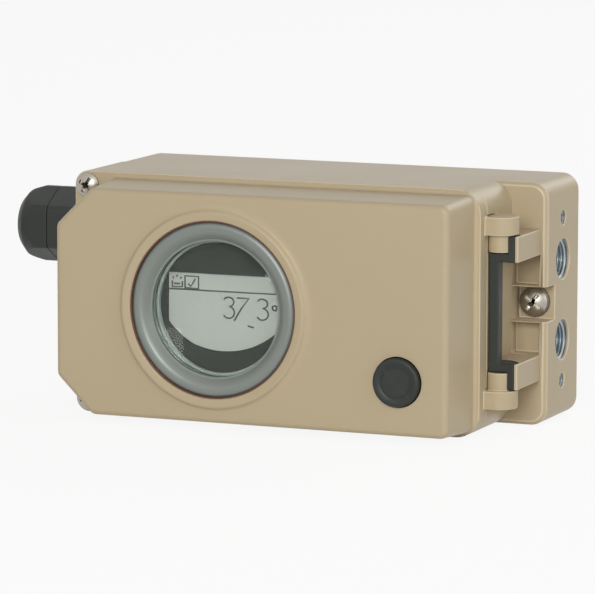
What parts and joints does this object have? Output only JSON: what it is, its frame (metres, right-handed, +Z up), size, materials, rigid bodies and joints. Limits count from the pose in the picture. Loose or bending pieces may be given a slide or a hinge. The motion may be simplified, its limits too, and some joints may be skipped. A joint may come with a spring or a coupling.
{
  "type": "electro-pneumatic valve positioner",
  "caption": "Electro-pneumatic valve positioner: cast housing, hinged cover with round window and push-and-turn knob, cable gland, air ports, feedback lever at the back.",
  "frame": {"origin": "centre of the rear bolt pattern at the mounting face, which is also the feedback shaft's axis", "axes": "+X towards the air ports, +Y out of the mounting face, so the window faces -Y, +Z up"},
  "size_m": [0.1892, 0.1092, 0.0794],
  "materials": {
    "powder_coat": "satin powder coat",
    "black_plastic": "satin moulded",
    "dark_plastic": "matt moulded",
    "mask_plastic": "matt",
    "terminal_plastic": "matt",
    "button_plastic": "satin",
    "circuit_board": "solder mask",
    "window_profile": "satin",
    "rubber": "matt",
    "display": "reflective liquid crystal",
    "window_glass": "clear",
    "stainless": "turned",
    "dark_steel": "blackened",
    "zinc_steel": "zinc plated",
    "aluminium": "machined",
    "bronze": "machined"
  },
  "bodies": {
    "body": {"housing": "powder_coat", "front_section": "powder_coat", "hinge_arms": "powder_coat", "hinge_strip": "black_plastic", "ground_screw": "stainless", "ground_washer": "dark_steel", "inner_ground_screw": "stainless", "gland_body": "black_plastic", "gland_gasket": "rubber", "gland_cap": "black_plastic", "gland_seal": "rubber", "vent_plug": "black_plastic", "vent_filter": "bronze", "shaft_bush": "bronze", "shaft_seal": "rubber", "mounting_plate": "zinc_steel", "plate_screws": "zinc_steel", "insulator_sheet": "dark_plastic", "main_board": "circuit_board", "electronics_module": "dark_plastic", "module_screws": "zinc_steel", "display_bezel": "mask_plastic", "lcd_panel": "display", "terminal_block": "terminal_plastic", "terminal_screws": "zinc_steel", "option_module": "dark_plastic", "sensor_board": "circuit_board", "sensor_posts": "bronze", "knob_sensor": "dark_plastic", "position_sensor": "dark_plastic", "ip_converter": "aluminium", "pressure_regulator": "aluminium", "booster": "aluminium", "port_seals": "rubber"},
    "cover": {"cover": "powder_coat", "cover_gasket": "rubber", "cover_screws": "stainless", "screw_clips": "black_plastic", "window_ring": "window_profile", "window_glass": "window_glass", "window_retainer": "aluminium", "retainer_screws": "zinc_steel", "knob_spring": "stainless", "knob_seal": "rubber"},
    "knob_slider": {"knob_sleeve": "bronze"},
    "knob": {"knob": "black_plastic", "knob_shaft": "stainless", "knob_clip": "zinc_steel", "knob_magnet": "dark_steel"},
    "feedback": {"feedback_shaft": "stainless", "sector_gear": "bronze", "gear_clip": "zinc_steel", "feedback_lever": "stainless", "lever_washer": "stainless", "lever_nut": "stainless", "follower_pin": "stainless"},
    "sensor": {"sensor_pinion": "bronze"},
    "button": {"init_button": "button_plastic"},
    "switch": {"switch_slider": "button_plastic"}
  },
  "joints": [
    {"name": "cover_hinge", "type": "hinge", "parent": "body", "child": "cover", "pos_m": [0.0683, -0.05, 0], "axis": [0, 0, 1], "range_deg": [0, 95]},
    {"name": "knob_press", "type": "slide", "parent": "cover", "child": "knob_slider", "axis": [0, 1, 0], "range_m": [0, 0.0015], "stiffness_N_per_m": 2000, "springref_m": -0.0015, "deforming": ["knob_spring"]},
    {"name": "knob_turn", "type": "hinge", "parent": "knob_slider", "child": "knob", "pos_m": [0.0452, -0.0807, -0.0196], "axis": [0, 1, 0], "continuous": true},
    {"name": "lever_turn", "type": "hinge", "parent": "body", "child": "feedback", "pos_m": [0, 0, 0], "axis": [0, 1, 0], "range_deg": [-35, 35]},
    {"name": "sensor_turn", "type": "hinge", "parent": "body", "child": "sensor", "pos_m": [-0.025, 0, 0], "axis": [0, 1, 0], "range_deg": [-91, 91]},
    {"name": "button_press", "type": "slide", "parent": "body", "child": "button", "axis": [0, 1, 0], "range_m": [0, 0.0012], "stiffness_N_per_m": 1500, "springref_m": -0.001},
    {"name": "switch_slide", "type": "slide", "parent": "body", "child": "switch", "axis": [0, 0, 1], "range_m": [0, 0.003]}
  ],
  "couplings": [
    {"joint": "sensor_turn", "follows": "lever_turn", "ratio": -2.5714}
  ]
}
